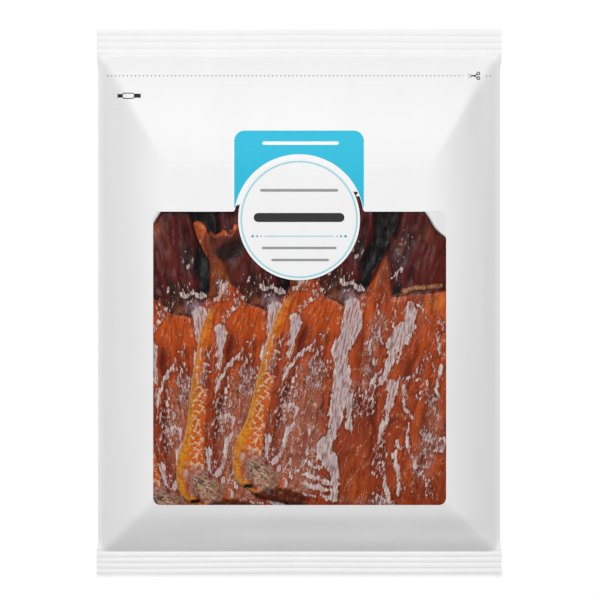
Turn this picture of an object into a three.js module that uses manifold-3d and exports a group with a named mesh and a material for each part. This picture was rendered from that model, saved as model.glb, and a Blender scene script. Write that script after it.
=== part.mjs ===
// A sealed flat pouch of dried squid that lies on its back, front up, with its top seal toward +Y.
// Its front has a large square window, and a round label tongue hangs into it from above.
// Three dried squids lie in the pouch like a fan of cards, each a flat spread body with its head and arms.
// Millimetres, +Z up. The origin is in the middle of the flat back, on the surface that the pouch lies on.
import * as THREE from "three";
import { mergeVertices } from "three/addons/utils/BufferGeometryUtils.js";
import Module from "manifold-3d";

const wasm = await Module();
wasm.setup();

// Driving dimensions of the pouch.
const POUCH_WIDTH = 260;
const POUCH_LENGTH = 350;
const TOP_SEAL = 17.5;
const BOTTOM_SEAL = 15.5;
const SIDE_SEAL = 3.2;
const SEAL_THICKNESS = 1.2;
const SEAL_MIDDLE_Z = 5;
const CRIMPS = 4;
const CRIMP_HEIGHT = 0.45;
const PUFF = 19; // how far the front stands above its seals
const FRONT_ROLL = 45; // how wide a strip of the front curves down to the side and bottom seals
const TOP_ROLL = 75; // the same toward the top seal, where the pouch is empty and slopes more gently
const BACK_ROLL = 22;
const CORNER_SHARPNESS = 4; // how clear a crease runs from each corner
const SLACK = { height: 0.4, xLength: 21, xPhase: 1.1, yLength: 29 }; // soft waves of the loose front
const SKIN = 1; // the film, drawn thick enough to be solid

// The window and the label tongue in it.
const WINDOW_SIDE = 188.7;
const WINDOW_CENTRE_Y = -36.6;
const WINDOW_CORNER = 4.5;
const LABEL_CENTRE_Y = 52.6;
const LABEL_RADIUS = 39;

const OPENING_DEPTH = 5; // the window's cut starts this far under the full front

// The room inside for the squids.
const ROOM = { halfWidth: 113, bottomY: -151, topY: 103, corner: 30 };
const ROOM_TRIM = 0.5; // cut off the sheet's own straight edges
const CLEARANCE = 0.7; // between the upper squid and the film
const FLOOR_CLEARANCE = 1.4; // between the lowest squid and the floor of the room

// The squids: a sheet each, laid one over the next from left to right.
const SQUID_THICKNESS = 3;
const LAYER_PITCH = 4;
const EDGE_LIFT = 3; // how far an uncovered side rises toward the film
const LIFT_REACH = 35;
const RISE_MARGIN = 15; // how far past a squid the floor of the room starts to rise
const RISE_REACH = 10;
const COVER = { halfWidth: 56, tailSpread: 0.2, headSpread: 0.25 }; // where a squid's sides lie
const SQUIDS = [
  { name: "squid_left", x: -52.8, y: 3.8, lean: 12.4, feelerTip: [-42, 50], colour: 0x9c4a24 },
  { name: "squid_middle", x: -2.4, y: 4.8, lean: 1.3, feelerTip: [-63, 46], colour: 0xa85026 },
  { name: "squid_right", x: 48.1, y: 5.5, lean: -6, feelerTip: [-63, 46], colour: 0xb05528 },
];

// Grid steps of the faceted surfaces.
const POUCH_COLUMNS = 18;
const POUCH_ROWS = 20;
const EDGE_CROWDING = 0.35; // 0 spaces the lines evenly, 0.5 crowds them at the ends
const ROOM_COLUMNS = 26;
const ROOM_ROWS = 26;
const SQUID_STEP = [9, 12]; // across and along the body
const CORNER_SEGMENTS = 4;
const LABEL_SEGMENTS = 20;
const OUTLINE_SEGMENTS = 3;
const ABOVE_ALL = 40;

const innerHalfWidth = POUCH_WIDTH / 2 - SIDE_SEAL;
const innerTop = POUCH_LENGTH / 2 - TOP_SEAL;
const innerBottom = -POUCH_LENGTH / 2 + BOTTOM_SEAL;

// Small functions of shape.
const clamp01 = (value) => Math.min(1, Math.max(0, value));
const smoothStep = (value) => clamp01(value) ** 2 * (3 - 2 * clamp01(value));
const shortOfFull = (distance, roll) => (1 - clamp01(distance / roll)) ** 2;

// 0 at the seals and 1 where the film has rolled up to its full height.
function fullness(x, y, roll, topRoll) {
  const power = CORNER_SHARPNESS;
  const side = shortOfFull(innerHalfWidth - Math.abs(x), roll);
  const end = Math.max(shortOfFull(innerTop - y, topRoll), shortOfFull(y - innerBottom, roll));
  return clamp01(1 - (side ** power + end ** power) ** (1 / power));
}

// The pressed waves that run across both end seals.
function crimp(y) {
  const into = Math.max(y - innerTop, innerBottom - y, 0);
  const band = y > 0 ? TOP_SEAL : BOTTOM_SEAL;
  return CRIMP_HEIGHT * Math.sin(Math.PI * (2 * CRIMPS * (into / band) - 0.5)) * Math.sign(into);
}

function frontHeight(x, y) {
  const slack = SLACK.height * Math.sin(x / SLACK.xLength + SLACK.xPhase) * Math.sin(y / SLACK.yLength);
  const full = fullness(x, y, FRONT_ROLL, TOP_ROLL);
  return SEAL_MIDDLE_Z + SEAL_THICKNESS / 2 + crimp(y) + full * (PUFF + slack);
}

function backHeight(x, y) {
  const full = fullness(x, y, BACK_ROLL, BACK_ROLL);
  return (SEAL_MIDDLE_Z - SEAL_THICKNESS / 2) * (1 - full) + crimp(y);
}

// Distance of a point beyond the left side (-1) or the right side (1) of a squid.
function beyond(x, y, squid, side) {
  const angle = THREE.MathUtils.degToRad(squid.lean);
  const across = (x - squid.x) * Math.cos(angle) + (y - squid.y) * Math.sin(angle);
  const along = (y - squid.y) * Math.cos(angle) - (x - squid.x) * Math.sin(angle);
  const spread = along < 0 ? -COVER.tailSpread : COVER.headSpread;
  return side * across - COVER.halfWidth - spread * along;
}

// How far an uncovered squid may rise at a point left of the squid that lies on it.
const lift = (x, y, upper) => EDGE_LIFT * smoothStep(beyond(x, y, upper, -1) / LIFT_REACH);

// How far the floor of the room may rise at a point right of a squid, which it needn't carry there.
const rise = (x, y, lower) => LAYER_PITCH * smoothStep((beyond(x, y, lower, 1) - RISE_MARGIN) / RISE_REACH);

// Depth of a squid's upper face under the film: each squid on top pushes it down by one layer.
function depthUnderFilm(x, y, layer) {
  return SQUIDS.slice(layer + 1).reduce((sum, upper) => sum + LAYER_PITCH - lift(x, y, upper), 0);
}

// Evenly spaced lines, and lines that crowd together toward both ends.
const evenLines = (from, to, count) =>
  Array.from({ length: count + 1 }, (_, i) => from + ((to - from) * i) / count);

function crowdedLines(from, to, count) {
  return evenLines(-1, 1, count).map((u) => {
    const warped = u * (1 + EDGE_CROWDING) - EDGE_CROWDING * u ** 3;
    return (from + to) / 2 + (warped * (to - from)) / 2;
  });
}

// A closed sheet over a grid of lines: its front follows top(x, y) and its back bottom(x, y).
function sheetBetween(xLines, yLines, top, bottom) {
  const across = xLines.length;
  const positions = [top, bottom].flatMap((height) =>
    yLines.flatMap((y) => xLines.flatMap((x) => [x, y, height(x, y)])),
  );
  const front = (row, column) => row * across + column;
  const back = (row, column) => front(row, column) + across * yLines.length;
  const triangles = [];
  const quad = (a, b, c, d) => triangles.push(a, b, c, a, c, d);
  const z = (vertex) => positions[3 * vertex + 2];
  // A cell of a face is split along the diagonal that leaves the ridge between its corners standing.
  const cell = (a, b, c, d, outward) =>
    outward * (z(a) + z(c) - z(b) - z(d)) >= 0 ? quad(a, b, c, d) : quad(b, c, d, a);
  const lastRow = yLines.length - 1;
  const lastColumn = across - 1;
  for (let r = 0; r < lastRow; r++) {
    for (let c = 0; c < lastColumn; c++) {
      cell(front(r, c), front(r, c + 1), front(r + 1, c + 1), front(r + 1, c), 1);
      cell(back(r, c), back(r + 1, c), back(r + 1, c + 1), back(r, c + 1), -1);
    }
    quad(back(r + 1, 0), back(r, 0), front(r, 0), front(r + 1, 0));
    quad(back(r, lastColumn), back(r + 1, lastColumn), front(r + 1, lastColumn), front(r, lastColumn));
  }
  for (let c = 0; c < lastColumn; c++) {
    quad(back(0, c), back(0, c + 1), front(0, c + 1), front(0, c));
    quad(back(lastRow, c + 1), back(lastRow, c), front(lastRow, c), front(lastRow, c + 1));
  }
  const geometry = new THREE.BufferGeometry();
  geometry.setAttribute("position", new THREE.Float32BufferAttribute(positions, 3));
  return geometry.setIndex(triangles);
}

// A straight prism over a flat outline.
function prism(shape, fromZ, toZ, curveSegments) {
  const geometry = new THREE.ExtrudeGeometry(shape, {
    depth: toZ - fromZ,
    bevelEnabled: false,
    curveSegments,
  });
  return geometry.translate(0, 0, fromZ);
}

// Closed meshes go to solids for cutting, and come back as one mesh.
function solidOf(geometry) {
  const bare = geometry.clone().deleteAttribute("normal").deleteAttribute("uv");
  const merged = mergeVertices(bare, 1e-3);
  return new wasm.Manifold(
    new wasm.Mesh({
      numProp: 3,
      vertProperties: new Float32Array(merged.getAttribute("position").array),
      triVerts: new Uint32Array(merged.index.array),
    }),
  );
}

function meshOf(solid, name, colour, roughness) {
  const { vertProperties, triVerts } = solid.getMesh();
  const geometry = new THREE.BufferGeometry();
  geometry.setAttribute("position", new THREE.BufferAttribute(vertProperties, 3));
  geometry.setIndex(new THREE.BufferAttribute(triVerts, 1));
  const shaded = geometry.toNonIndexed();
  shaded.computeVertexNormals();
  const material = new THREE.MeshStandardMaterial({ color: colour, roughness, metalness: 0 });
  const mesh = new THREE.Mesh(shaded, material);
  mesh.name = name;
  return mesh;
}

function roundedRectangle(halfWidth, fromY, toY, corner) {
  const shape = new THREE.Shape();
  shape.moveTo(-halfWidth + corner, fromY);
  shape.absarc(halfWidth - corner, fromY + corner, corner, -Math.PI / 2, 0);
  shape.absarc(halfWidth - corner, toY - corner, corner, 0, Math.PI / 2);
  shape.absarc(-halfWidth + corner, toY - corner, corner, Math.PI / 2, Math.PI);
  shape.absarc(-halfWidth + corner, fromY + corner, corner, Math.PI, 1.5 * Math.PI);
  return shape;
}

// The pouch is a pillow with crimped ends, hollowed for the squids and open at its window.
function makePouch() {
  const xLines = [
    -POUCH_WIDTH / 2,
    ...crowdedLines(-innerHalfWidth, innerHalfWidth, POUCH_COLUMNS),
    POUCH_WIDTH / 2,
  ];
  const yLines = [
    ...evenLines(-POUCH_LENGTH / 2, innerBottom, 2 * CRIMPS).slice(0, -1),
    ...crowdedLines(innerBottom, innerTop, POUCH_ROWS),
    ...evenLines(innerTop, POUCH_LENGTH / 2, 2 * CRIMPS).slice(1),
  ];
  const pillow = sheetBetween(xLines, yLines, frontHeight, backHeight);

  const lowest = (x, y) =>
    Math.max(
      backHeight(x, y) + SKIN,
      frontHeight(x, y) - SKIN - CLEARANCE - depthUnderFilm(x, y, 0) - SQUID_THICKNESS - FLOOR_CLEARANCE +
        rise(x, y, SQUIDS[0]) + rise(x, y, SQUIDS[1]),
    );
  const roomSheet = sheetBetween(
    crowdedLines(-ROOM.halfWidth, ROOM.halfWidth, ROOM_COLUMNS),
    crowdedLines(ROOM.bottomY, ROOM.topY, ROOM_ROWS),
    (x, y) => frontHeight(x, y) - SKIN,
    lowest,
  );
  const plan = roundedRectangle(
    ROOM.halfWidth - ROOM_TRIM,
    ROOM.bottomY + ROOM_TRIM,
    ROOM.topY - ROOM_TRIM,
    ROOM.corner,
  );
  const room = solidOf(roomSheet).intersect(solidOf(prism(plan, 0, ABOVE_ALL, CORNER_SEGMENTS)));

  const windowHalf = WINDOW_SIDE / 2;
  const square = [windowHalf, WINDOW_CENTRE_Y - windowHalf, WINDOW_CENTRE_Y + windowHalf, WINDOW_CORNER];
  const underFilm = SEAL_MIDDLE_Z + PUFF - OPENING_DEPTH;
  const opening = prism(roundedRectangle(...square), underFilm, ABOVE_ALL, CORNER_SEGMENTS);
  const disc = new THREE.Shape().absarc(0, LABEL_CENTRE_Y, LABEL_RADIUS, 0, 2 * Math.PI);
  const label = prism(disc, 0, 2 * ABOVE_ALL, LABEL_SEGMENTS);
  const windowCut = solidOf(opening).subtract(solidOf(label));
  return meshOf(solidOf(pillow).subtract(room).subtract(windowCut), "pouch", 0xeceeec, 0.45);
}

// Half the outline of the spread body from its left collar point down to the tail tip, with +Y to the head.
const LEFT_SIDE = [
  [-46, 2],
  [-55, -13],
  [-65, -40],
  [-70, -73],
  [-76, -100],
  [-78.5, -114],
  [-76, -129],
  [-60, -138],
  [-28, -143],
  [0, -148],
];
const RIGHT_SIDE = [
  [30, -143],
  [56, -134],
  [69, -116],
  [68, -80],
  [65, -48],
  [60, -20],
  [54, 2],
];
// The head's outline from its right root over the crown to its left root.
const HEAD = [
  [50, 2],
  [49, 20],
  [42, 39],
  [26, 55],
  [14, 66],
  [-14, 68],
  [-24, 60],
  [-31, 50],
  [-36, 30],
  [-42, 2],
];
const ROOT_DEPTH = -8; // how far the head's outline reaches into the body

function bodyShape() {
  const shape = new THREE.Shape();
  const [first, ...rest] = LEFT_SIDE.map(([x, y]) => new THREE.Vector2(x, y));
  shape.moveTo(first.x, first.y);
  shape.splineThru([...rest, ...RIGHT_SIDE.map(([x, y]) => new THREE.Vector2(x, y))]);
  return shape;
}

function headShape() {
  const [first, ...rest] = HEAD.map(([x, y]) => new THREE.Vector2(x, y));
  const shape = new THREE.Shape();
  shape.moveTo(first.x, ROOT_DEPTH);
  shape.lineTo(first.x, first.y);
  shape.splineThru(rest);
  shape.lineTo(rest.at(-1).x, ROOT_DEPTH);
  return shape;
}

// An arm is a tapering strip with a round tip.
function armShape([rootX, rootY], [tipX, tipY], rootWidth, tipWidth) {
  const heading = Math.atan2(tipY - rootY, tipX - rootX);
  const side = heading + Math.PI / 2;
  const offset = (x, y, width, sign) => [
    x + (sign * width * Math.cos(side)) / 2,
    y + (sign * width * Math.sin(side)) / 2,
  ];
  const shape = new THREE.Shape();
  shape.moveTo(...offset(rootX, rootY, rootWidth, 1));
  shape.lineTo(...offset(rootX, rootY, rootWidth, -1));
  shape.lineTo(...offset(tipX, tipY, tipWidth, -1));
  shape.absarc(tipX, tipY, tipWidth / 2, heading - Math.PI / 2, heading + Math.PI / 2);
  return shape;
}

const ARMS = {
  count: 4,
  rootY: 56,
  rootSpread: 32,
  rootWidth: 9,
  tipY: 90,
  tipSpread: 44,
  tipWidth: 4,
  outerShorter: 8, // per tip spread
};
const FEELER = { root: [-39, -2], rootWidth: 11, tipWidth: 5 };
// The dark hollow in the head, the crease at the neck and the long waves of the body.
const GAP = { x: -4, halfWidth: 10, depth: 2, fromY: -4, fadeIn: 8, toY: 48, fadeOut: 16 };
const NECK = { y: 1, halfWidth: 8, depth: 1.1 };
const WAVE = { depth: 0.5, length: 5.5, fadeIn: 20 };

// How far the upper face dips under the sheet's own level, in the squid's own frame.
function dip(x, y) {
  const gapAcross = smoothStep(1 - Math.abs(x - GAP.x) / GAP.halfWidth);
  const gapAlong = smoothStep((y - GAP.fromY) / GAP.fadeIn) * smoothStep((GAP.toY - y) / GAP.fadeOut);
  const neck = smoothStep(1 - Math.abs(y - NECK.y) / NECK.halfWidth);
  const wave = (WAVE.depth / 2) * (1 - Math.cos(x / WAVE.length)) * smoothStep(-y / WAVE.fadeIn);
  return Math.max(GAP.depth * gapAcross * gapAlong, NECK.depth * neck) + wave;
}

function makeSquid(squid, layer) {
  const angle = THREE.MathUtils.degToRad(squid.lean);
  const sheetTop = (x, y) => {
    const pouchX = squid.x + x * Math.cos(angle) - y * Math.sin(angle);
    const pouchY = squid.y + x * Math.sin(angle) + y * Math.cos(angle);
    return frontHeight(pouchX, pouchY) - SKIN - CLEARANCE - depthUnderFilm(pouchX, pouchY, layer);
  };
  const armFractions = evenLines(-0.5, 0.5, ARMS.count - 1);
  const arms = armFractions.map((u) =>
    armShape(
      [u * ARMS.rootSpread, ARMS.rootY],
      [u * ARMS.tipSpread, ARMS.tipY - ARMS.outerShorter * Math.abs(u)],
      ARMS.rootWidth,
      ARMS.tipWidth,
    ),
  );
  const feeler = armShape(FEELER.root, squid.feelerTip, FEELER.rootWidth, FEELER.tipWidth);
  const outline = [bodyShape(), headShape(), ...arms, feeler]
    .map((shape) => solidOf(prism(shape, -ABOVE_ALL, ABOVE_ALL, OUTLINE_SEGMENTS)))
    .reduce((whole, piece) => whole.add(piece));

  const box = outline.boundingBox();
  const linesAlong = (axis) => {
    const from = box.min[axis] - 1;
    const to = box.max[axis] + 1;
    return evenLines(from, to, Math.round((to - from) / SQUID_STEP[axis]));
  };
  const sheet = sheetBetween(
    linesAlong(0),
    linesAlong(1),
    (x, y) => sheetTop(x, y) - dip(x, y),
    (x, y) => sheetTop(x, y) - SQUID_THICKNESS,
  );
  const mesh = meshOf(solidOf(sheet).intersect(outline), squid.name, squid.colour, 0.4);
  mesh.position.set(squid.x, squid.y, 0);
  mesh.rotation.z = angle;
  return mesh;
}

const pack = new THREE.Group();
pack.add(makePouch());
SQUIDS.forEach((squid, layer) => pack.add(makeSquid(squid, layer)));

export default pack;
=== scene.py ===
"""A sealed window pouch of dried squid that lies on its back.

The film comes first: printed front, clear window and back. Then come the print on it, the three squids in
it and the white lining behind them.
Metres, in the frame of the CAD model: +X right, +Y to the top seal, +Z up. The squids are drawn in mm.
"""

import bmesh
import bpy
import numpy as np
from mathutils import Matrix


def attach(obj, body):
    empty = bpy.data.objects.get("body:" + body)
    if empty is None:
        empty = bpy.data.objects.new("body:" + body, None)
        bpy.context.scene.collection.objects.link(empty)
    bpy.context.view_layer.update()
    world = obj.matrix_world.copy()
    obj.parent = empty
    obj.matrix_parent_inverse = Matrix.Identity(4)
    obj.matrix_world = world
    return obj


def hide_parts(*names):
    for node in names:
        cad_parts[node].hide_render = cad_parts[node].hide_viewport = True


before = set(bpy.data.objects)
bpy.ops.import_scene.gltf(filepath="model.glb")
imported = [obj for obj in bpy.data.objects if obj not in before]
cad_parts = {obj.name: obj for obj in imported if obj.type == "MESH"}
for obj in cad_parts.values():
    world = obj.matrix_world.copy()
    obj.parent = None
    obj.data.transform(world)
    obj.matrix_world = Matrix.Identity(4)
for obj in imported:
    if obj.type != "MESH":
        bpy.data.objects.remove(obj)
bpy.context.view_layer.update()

# The camera looks straight down from far off, so the pouch lies square in the picture.
# One broad soft lamp leans toward the top seal. The table is white and a little bright of itself,
# as a light table is, so that the pouch hardly throws a shadow.
CAMERA_HEIGHT = 6.0
PICTURE_WIDTH = 0.3852
PICTURE_LEVEL = 0.005
AIM = (0.0006, 0.001)
camera = bpy.data.objects.new("camera", bpy.data.cameras.new("camera"))
bpy.context.scene.collection.objects.link(camera)
bpy.context.scene.camera = camera
camera.location = (*AIM, CAMERA_HEIGHT)
camera.data.lens = camera.data.sensor_width * (CAMERA_HEIGHT - PICTURE_LEVEL) / PICTURE_WIDTH
camera.data.clip_end = 50
bpy.context.scene.view_settings.view_transform = "Standard"

lamp = bpy.data.objects.new("lamp", bpy.data.lights.new("lamp", "AREA"))
bpy.context.scene.collection.objects.link(lamp)
LAMP_LEAN = np.radians(17)
LAMP_DISTANCE = 3.0
lamp.location = (-0.15, LAMP_DISTANCE * np.sin(LAMP_LEAN), LAMP_DISTANCE * np.cos(LAMP_LEAN))
lamp.rotation_euler = (-LAMP_LEAN, -0.05, 0)
lamp.data.size = 1.3
lamp.data.energy = 80

world = bpy.data.worlds.new("studio")
bpy.context.scene.world = world
world.use_nodes = True
world.node_tree.nodes["Background"].inputs["Color"].default_value = (1.0, 1.0, 1.0, 1.0)
world.node_tree.nodes["Background"].inputs["Strength"].default_value = 0.14


def srgb(red, green, blue):
    """A colour as it is seen, 0 to 255, turned into the linear colour that a shader takes."""
    seen = np.array([red, green, blue]) / 255
    linear = np.where(seen <= 0.04045, seen / 12.92, ((seen + 0.055) / 1.055) ** 2.4)
    return (*(float(value) for value in linear), 1.0)


def feed(socket, value):
    """Gives an input a plain value or another node's output."""
    if isinstance(value, (int, float, tuple)):
        socket.default_value = value
    else:
        socket.id_data.links.new(value, socket)


def new_material(name, colour, roughness, **inputs):
    """A material with its shader node, which each piece's own section then adds to."""
    material = bpy.data.materials.new(name)
    material.use_nodes = True
    shader = material.node_tree.nodes["Principled BSDF"]
    for key, value in {"Base_Color": colour, "Roughness": roughness, **inputs}.items():
        feed(shader.inputs[key.replace("_", " ")], value)
    return material, shader


TABLE_HALF = 3.0
UNDER_PACK = 0.0004
table_mesh = bpy.data.meshes.new("table")
table_sheet = bmesh.new()
bmesh.ops.create_grid(table_sheet, x_segments=1, y_segments=1, size=TABLE_HALF)
bmesh.ops.translate(table_sheet, vec=(0, 0, -UNDER_PACK), verts=table_sheet.verts)
table_sheet.to_mesh(table_mesh)
table_sheet.free()
table = bpy.data.objects.new("table", table_mesh)
bpy.context.scene.collection.objects.link(table)
table_white = new_material(
    "table_white",
    (0.35, 0.35, 0.35, 1.0),
    0.9,
    Specular_IOR_Level=0.0,
    Emission_Color=(1.0, 1.0, 1.0, 1.0),
    Emission_Strength=0.7,
)[0]
table_mesh.materials.append(table_white)

# The front of the pouch is one sheet of white satin laminate, pressed to the back at all four sides.
# It rolls up from the seals to the full height that the squids hold it at, more gently at the empty top,
# and four grooves are pressed across each end seal. The window and the tongue in it are printed borders.
WIDTH = 0.26
LENGTH = 0.35
TOP_SEAL = 0.0175
BOTTOM_SEAL = 0.0145
SIDE_SEAL = 0.0032
SEAL_Z = 0.005
SEAL_HALF = 0.00035
PUFF = 0.019
SIDE_ROLL = 0.045
TOP_ROLL = 0.075
BACK_ROLL = 0.022
CORNER = 12  # the higher, the squarer the corners of the roll
SEAL_DROOP = 0.0014
DROOP_START = 0.016  # from the end of the pouch
DROOP_RUN = 0.006
GROOVES = 4
WANDER_RUN = 0.003  # the grooves' wander grows over this much of a seal
GROOVE_DEPTH = 0.00024
SLACK = 0.0004  # height of the film's long slack waves
FILM = 0.0003
INNER_HALF = WIDTH / 2 - SIDE_SEAL
INNER_TOP = LENGTH / 2 - TOP_SEAL
INNER_BOTTOM = -LENGTH / 2 + BOTTOM_SEAL
SIDE_DRAW = 0.001  # how far the sides draw in between the end seals
SIDE_DRAW_RUN = 0.009
WINDOW_HALF = 0.0939
WINDOW_X = 0.0004
WINDOW_Y = -0.03635
WINDOW_CORNER = 0.0045
DISC_Y = 0.0526
DISC_RADIUS = 0.039
# The narrow clear ring beside the tongue: its outer radius, its foot and its two tips.
SLIVER_RADIUS = 0.0414
SLIVER_FOOT = 0.05
SLIVER_TIP_LEFT = 0.062
SLIVER_TIP_RIGHT = 0.0703
# Soft dents in the film: x, y, half width, half height, depth.
DENTS = (
    (-0.006, -0.1465, 0.06, 0.0052, 0.0009),
    (0.1, -0.1465, 0.024, 0.0052, 0.0009),
    (0.000, -0.1375, 0.1, 0.0045, -0.0004),
    (-0.07, -0.153, 0.03, 0.005, 0.0005),
    (0.05, -0.155, 0.016, 0.004, -0.0004),
    (-0.118, 0.11, 0.005, 0.03, 0.0006),
    (0.117, 0.125, 0.006, 0.03, 0.0009),
    (0.119, 0.000, 0.004, 0.06, -0.0004),
    (-0.119, -0.02, 0.004, 0.07, -0.0003),
)


def blob(x, y, centre_x, centre_y, half_x, half_y):
    """1 at the centre, fading out all round."""
    return np.exp(-(((x - centre_x) / half_x) ** 2) - ((y - centre_y) / half_y) ** 2)


def fullness(x, y, roll, top_roll):
    """0 at the seals and 1 where the film has rolled up to its full height."""
    side = (1 - np.clip((INNER_HALF - np.abs(x)) / roll, 0, 1)) ** 2
    top = (1 - np.clip((INNER_TOP - y) / top_roll, 0, 1)) ** 2
    bottom = (1 - np.clip((y - INNER_BOTTOM) / roll, 0, 1)) ** 2
    end = np.maximum(top, bottom)
    return np.clip(1 - (side**CORNER + end**CORNER) ** (1 / CORNER), 0, 1)


def seal_droop(x, y):
    """How far the free side seals hang down toward their outer edge, between the end seals."""
    from_end = np.clip((LENGTH / 2 - DROOP_START - np.abs(y)) / DROOP_RUN, 0, 1)
    return SEAL_DROOP * np.clip((np.abs(x) - INNER_HALF) / SIDE_SEAL, 0, 1) * from_end


def groove(x, y):
    """Depth of the narrow grooves pressed across the end seals, which wander a little."""
    into = np.maximum(y - INNER_TOP, INNER_BOTTOM - y)
    band = np.where(y > 0, TOP_SEAL, BOTTOM_SEAL)
    wander = 0.06 * np.sin(x / 0.031 + 9 * y / LENGTH) + 0.05 * np.sin(x / 0.083)
    turn = 2 * np.pi * (GROOVES * into / band + wander * np.clip(into / WANDER_RUN, 0, 1))
    return np.where(into > 0, GROOVE_DEPTH * (0.5 + 0.5 * np.cos(turn)) ** 5, 0)


def front_height(x, y):
    """Height of the front's outer face."""
    full = fullness(x, y, SIDE_ROLL, TOP_ROLL)
    slack = SLACK * np.sin(x / 0.021 + 1.1) * np.sin(y / 0.029)
    dents = sum(depth * blob(x, y, *place) for *place, depth in DENTS)
    body = full * (PUFF + slack) - dents * np.clip(full / 0.12, 0, 1)
    return SEAL_Z + SEAL_HALF - groove(x, y) + body - seal_droop(x, y)


def drawn_in(x, y):
    """The sides of the body draw in a little between the end seals, which stay full width."""
    from_end = np.clip(np.minimum(INNER_TOP - y, y - INNER_BOTTOM) / SIDE_DRAW_RUN, 0, 1)
    pull = SIDE_DRAW * from_end**2 * (3 - 2 * from_end)
    return x - np.sign(x) * pull * np.clip(np.abs(x) / (WIDTH / 2), 0, 1) ** 6, y


def rounded_box(x, y, centre_x, centre_y, half_x, half_y, radius):
    """Distance to a rounded rectangle, negative inside it."""
    beyond_x = np.abs(x - centre_x) - half_x + radius
    beyond_y = np.abs(y - centre_y) - half_y + radius
    outside = np.hypot(np.maximum(beyond_x, 0), np.maximum(beyond_y, 0))
    return outside + np.minimum(np.maximum(beyond_x, beyond_y), 0) - radius


def disc(x, y, centre_x, centre_y, radius):
    """Distance to a disc, negative inside it."""
    return np.hypot(x - centre_x, y - centre_y) - radius


def window(x, y):
    """Distance to the clear window: a square and a narrow ring, without the round tongue."""
    square = rounded_box(x, y, WINDOW_X, WINDOW_Y, WINDOW_HALF, WINDOW_HALF, WINDOW_CORNER)
    tip = np.where(x > 0, SLIVER_TIP_RIGHT, SLIVER_TIP_LEFT)
    sliver = np.maximum(disc(x, y, 0, DISC_Y, SLIVER_RADIUS), np.maximum(y - tip, SLIVER_FOOT - y))
    return np.maximum(np.minimum(square, sliver), -disc(x, y, 0, DISC_Y, DISC_RADIUS))


def lines(*stops):
    """Grid lines through the stops, with the step between each two: from, step, to, step, to."""
    marks = [stops[0]]
    for step, end in zip(stops[1::2], stops[2::2]):
        start = marks[-1]
        marks.extend(np.linspace(start, end, max(1, round((end - start) / step)) + 1)[1:])
    return np.array(marks)


def closed_sheet(name, x_lines, y_lines, distance, top, bottom, place=None):
    """A thin closed sheet over a grid of lines, cut where the distance is zero, between two heights.

    It gives the object, the flat coordinates of its vertices, and which of them are on top.
    """
    bm = bmesh.new()
    bmesh.ops.create_grid(bm, x_segments=len(x_lines) - 1, y_segments=len(y_lines) - 1, size=0.5)
    flat = np.array([vertex.co[:2] for vertex in bm.verts])
    column = np.rint((flat[:, 0] + 0.5) * (len(x_lines) - 1)).astype(int)
    row = np.rint((flat[:, 1] + 0.5) * (len(y_lines) - 1)).astype(int)
    for vertex, x, y in zip(bm.verts, x_lines[column], y_lines[row]):
        vertex.co = (x, y, 0)
    if distance:
        centres = np.array([face.calc_center_median()[:2] for face in bm.faces])
        outside = distance(centres[:, 0], centres[:, 1]) > 0
        cut_away = [face for face, gone in zip(bm.faces, outside) if gone]
        bmesh.ops.delete(bm, geom=cut_away, context="FACES")
        rim = [vertex for vertex in bm.verts if vertex.is_boundary]
        x, y = np.array([vertex.co[:2] for vertex in rim]).T
        reach = 1.5 * max(np.diff(x_lines).max(), np.diff(y_lines).max())
        near = np.abs(distance(x, y)) < reach
        nudge = reach * 0.01
        for _ in range(4):
            gap = distance(x, y)
            slope_x = (distance(x + nudge, y) - distance(x - nudge, y)) / (2 * nudge)
            slope_y = (distance(x, y + nudge) - distance(x, y - nudge)) / (2 * nudge)
            x = np.where(near, x - gap * slope_x, x)
            y = np.where(near, y - gap * slope_y, y)
        for vertex, new_x, new_y in zip(rim, x, y):
            vertex.co = (new_x, new_y, 0)
    raised = bmesh.ops.extrude_face_region(bm, geom=bm.faces[:], use_keep_orig=True)["geom"]
    raised = [item for item in raised if isinstance(item, bmesh.types.BMVert)]
    bmesh.ops.translate(bm, vec=(0, 0, 1), verts=raised)
    bmesh.ops.recalc_face_normals(bm, faces=bm.faces[:])
    for face in bm.faces:
        face.smooth = True
        if abs(face.normal.z) < 0.5:
            for edge in face.edges:
                edge.smooth = False
    mesh = bpy.data.meshes.new(name)
    bm.to_mesh(mesh)
    bm.free()
    points = np.empty(3 * len(mesh.vertices), np.float32)
    mesh.vertices.foreach_get("co", points)
    points = points.reshape(-1, 3).astype(float)
    x, y = points[:, 0].copy(), points[:, 1].copy()
    on_top = points[:, 2] > 0.5
    points[:, 2] = np.where(on_top, top(x, y), bottom(x, y))
    if place:
        points[:, 0], points[:, 1] = place(x, y)
    mesh.vertices.foreach_set("co", points.ravel())
    mesh.update()
    piece = bpy.data.objects.new(name, mesh)
    bpy.context.scene.collection.objects.link(piece)
    return piece, x, y, on_top


film_x_lines = lines(
    -WIDTH / 2, 0.0016, -INNER_HALF, 0.0017, -0.085, 0.0024, 0.085, 0.0017, INNER_HALF, 0.0016, WIDTH / 2
)
film_y_lines = lines(
    -LENGTH / 2, 0.0006, INNER_BOTTOM, 0.001, -0.152, 0.002, 0.045, 0.0014, 0.075, 0.0022, 0.148, 0.001,
    INNER_TOP, 0.0006, LENGTH / 2,
)
front_film = closed_sheet(
    "front_film",
    film_x_lines,
    film_y_lines,
    lambda x, y: -window(x, y),
    front_height,
    lambda x, y: front_height(x, y) - FILM,
    drawn_in,
)[0]


def add_node(tree, kind, **inputs):
    """A node with its inputs fed."""
    node = tree.nodes.new("ShaderNode" + kind)
    for key, value in inputs.items():
        feed(node.inputs[key.replace("_", " ")], value)
    return node


def mix_node(tree, share, first, second, blend="MIX"):
    """A share of the second colour on the first."""
    node = add_node(tree, "Mix")
    node.data_type = "RGBA"
    node.blend_type = blend
    for key, value in (("Factor", share), ("A", first), ("B", second)):
        feed(node.inputs[key], value)
    return node.outputs["Result"]


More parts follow.
